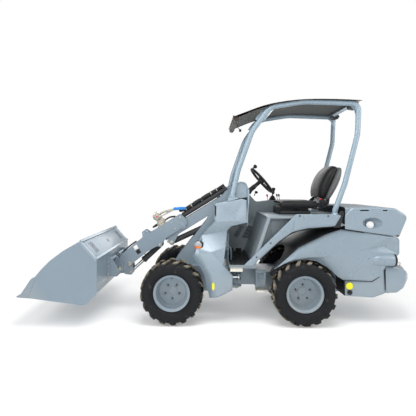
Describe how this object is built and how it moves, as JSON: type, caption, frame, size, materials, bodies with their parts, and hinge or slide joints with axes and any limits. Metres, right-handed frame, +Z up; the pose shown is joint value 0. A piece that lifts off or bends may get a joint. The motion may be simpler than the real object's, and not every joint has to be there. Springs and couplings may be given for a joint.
{
  "type": "articulated telescopic compact loader",
  "caption": "Compact articulated loader with a telescopic boom and a bucket, an open driver's place under a tube frame with a roof, and an engine body behind.",
  "frame": {"origin": "centre of the whole machine's box on the ground, with the bucket as stored", "axes": "+X toward the engine end, the bucket toward -X, +Y toward the driver's right, +Z up"},
  "size_m": [3.755, 1.27, 2.1246],
  "materials": {
    "paint": "satin light blue-grey paint",
    "tyre": "moulded rubber",
    "dark_iron": "painted casting",
    "lens": "clear lens",
    "amber": "amber and clear lamp",
    "roof_sheet": "thin dark sheet",
    "cloth": "dark brown woven",
    "black": "fine grain",
    "seat_cover": "black cover",
    "steel": "zinc plated",
    "tread": "serrated",
    "rod_chrome": "polished",
    "hose": "hose rubber"
  },
  "bodies": {
    "front_frame": {"front_chassis": "paint", "boom_tower": "paint", "front_axle": "dark_iron", "fender_left": "paint", "fender_right": "paint", "headlights": "lens", "marker_lamps": "amber", "side_strips": "paint", "platform": "paint", "console": "paint", "cowl": "paint", "rops_frame": "paint", "canopy": "roof_sheet", "curtain_roll": "cloth", "seat_base": "black", "seat_cushion": "seat_cover", "seat_back": "seat_cover", "steering_column": "black", "step_treads": "tread", "control_levers": "black", "pedal": "steel"},
    "rear_frame": {"rear_chassis": "paint", "rear_axle": "dark_iron", "rear_body": "paint", "engine": "dark_iron", "counterweight": "paint", "rear_lamps": "amber", "tool_box": "paint", "rear_step": "tread"},
    "steering_wheel_body": {"steering_wheel": "black"},
    "hood_lid": {"hood": "paint"},
    "boom": {"boom_base": "paint", "telescope_barrel": "paint", "boom_hoses": "hose"},
    "head": {"boom_head": "paint", "telescope_rod": "rod_chrome", "hose_coupling": "steel"},
    "lever": {"tilt_lever": "paint"},
    "link": {"tilt_link": "paint"},
    "bucket_assembly": {"coupler": "paint", "bucket": "paint"},
    "lift_cylinder": {"lift_barrel": "paint"},
    "lift_piston": {"lift_rod": "rod_chrome"},
    "tilt_cylinder": {"tilt_barrel": "paint"},
    "tilt_piston": {"tilt_rod": "rod_chrome"},
    "steer_cylinder": {"steer_barrel": "paint"},
    "steer_piston": {"steer_rod": "rod_chrome"},
    "front_left_wheel": {"front_left_tyre": "tyre", "front_left_rim": "paint"},
    "front_right_wheel": {"front_right_tyre": "tyre", "front_right_rim": "paint"},
    "rear_left_wheel": {"rear_left_tyre": "tyre", "rear_left_rim": "paint"},
    "rear_right_wheel": {"rear_right_tyre": "tyre", "rear_right_rim": "paint"}
  },
  "joints": [
    {"name": "articulation", "type": "hinge", "parent": "front_frame", "child": "rear_frame", "pos_m": [0.138, 0, 0.353], "axis": [0, 0, 1], "range_deg": [-38, 38]},
    {"name": "boom_lift", "type": "hinge", "parent": "front_frame", "child": "boom", "pos_m": [0.11, 0, 1.197], "axis": [0, 1, 0], "range_deg": [-8, 72]},
    {"name": "telescope", "type": "slide", "parent": "boom", "child": "head", "axis": [-0.8499, 0, -0.527], "range_m": [0, 0.48]},
    {"name": "bucket_tilt", "type": "hinge", "parent": "head", "child": "bucket_assembly", "pos_m": [-1.077, 0, 0.431], "axis": [0, -1, 0], "range_deg": [-22, 105]},
    {"name": "tilt_lever_turn", "type": "hinge", "parent": "head", "child": "lever", "pos_m": [-0.976, 0, 0.474], "axis": [0, -1, 0], "range_deg": [-18.85, 88.07]},
    {"name": "tilt_link_turn", "type": "hinge", "parent": "lever", "child": "link", "pos_m": [-1.0285, 0, 0.393], "axis": [0, -1, 0], "range_deg": [-94.93, 20.29]},
    {"name": "tilt_cylinder_swing", "type": "hinge", "parent": "head", "child": "tilt_cylinder", "pos_m": [-0.652, 0, 0.672], "axis": [0, -1, 0], "range_deg": [-0.63, 1.11]},
    {"name": "tilt_piston_slide", "type": "slide", "parent": "tilt_cylinder", "child": "tilt_piston", "axis": [-0.7349, 0, -0.6782], "range_m": [-0.12891, 0.0278]},
    {"name": "lift_cylinder_swing", "type": "hinge", "parent": "boom", "child": "lift_cylinder", "pos_m": [-0.532, 0, 0.696], "axis": [0, 1, 0], "range_deg": [-0.64, 1.71]},
    {"name": "lift_piston_slide", "type": "slide", "parent": "lift_cylinder", "child": "lift_piston", "axis": [0.9064, 0, 0.4225], "range_m": [-0.02933, 0.25594]},
    {"name": "steer_cylinder_swing", "type": "hinge", "parent": "front_frame", "child": "steer_cylinder", "pos_m": [-0.26, -0.13, 0.353], "axis": [0, 0, 1], "range_deg": [-1.77, 1.77]},
    {"name": "steer_piston_slide", "type": "slide", "parent": "steer_cylinder", "child": "steer_piston", "axis": [0.9975, 0.0707, 0], "range_m": [-0.06558, 0.06558]},
    {"name": "steering_wheel_turn", "type": "hinge", "parent": "front_frame", "child": "steering_wheel_body", "pos_m": [0.388, 0, 1.326], "axis": [0.7579, 0, 0.6524], "range_deg": [-520, 520]},
    {"name": "hood_open", "type": "hinge", "parent": "rear_frame", "child": "hood_lid", "pos_m": [1.64, 0, 0.836], "axis": [0, 1, 0], "range_deg": [0, 62]},
    {"name": "front_left_wheel_turn", "type": "hinge", "parent": "front_frame", "child": "front_left_wheel", "pos_m": [-0.488, -0.4315, 0.295], "axis": [0, 1, 0], "continuous": true},
    {"name": "front_right_wheel_turn", "type": "hinge", "parent": "front_frame", "child": "front_right_wheel", "pos_m": [-0.488, 0.4315, 0.295], "axis": [0, 1, 0], "continuous": true},
    {"name": "rear_left_wheel_turn", "type": "hinge", "parent": "rear_frame", "child": "rear_left_wheel", "pos_m": [0.732, -0.4315, 0.295], "axis": [0, 1, 0], "continuous": true},
    {"name": "rear_right_wheel_turn", "type": "hinge", "parent": "rear_frame", "child": "rear_right_wheel", "pos_m": [0.732, 0.4315, 0.295], "axis": [0, 1, 0], "continuous": true}
  ],
  "couplings": [
    {"joint": "tilt_lever_turn", "follows": "bucket_tilt", "ratio": 0.834},
    {"joint": "tilt_link_turn", "follows": "bucket_tilt", "ratio": -0.89931},
    {"joint": "tilt_cylinder_swing", "follows": "bucket_tilt", "ratio": 0.005833},
    {"joint": "tilt_piston_slide", "follows": "bucket_tilt", "m_per_rad": -0.069795},
    {"joint": "lift_cylinder_swing", "follows": "boom_lift", "ratio": 0.016818},
    {"joint": "lift_piston_slide", "follows": "boom_lift", "m_per_rad": 0.20287},
    {"joint": "steer_cylinder_swing", "follows": "articulation", "ratio": 0.033439},
    {"joint": "steer_piston_slide", "follows": "articulation", "m_per_rad": 0.097375},
    {"joint": "steering_wheel_turn", "follows": "articulation", "ratio": 13.5}
  ]
}
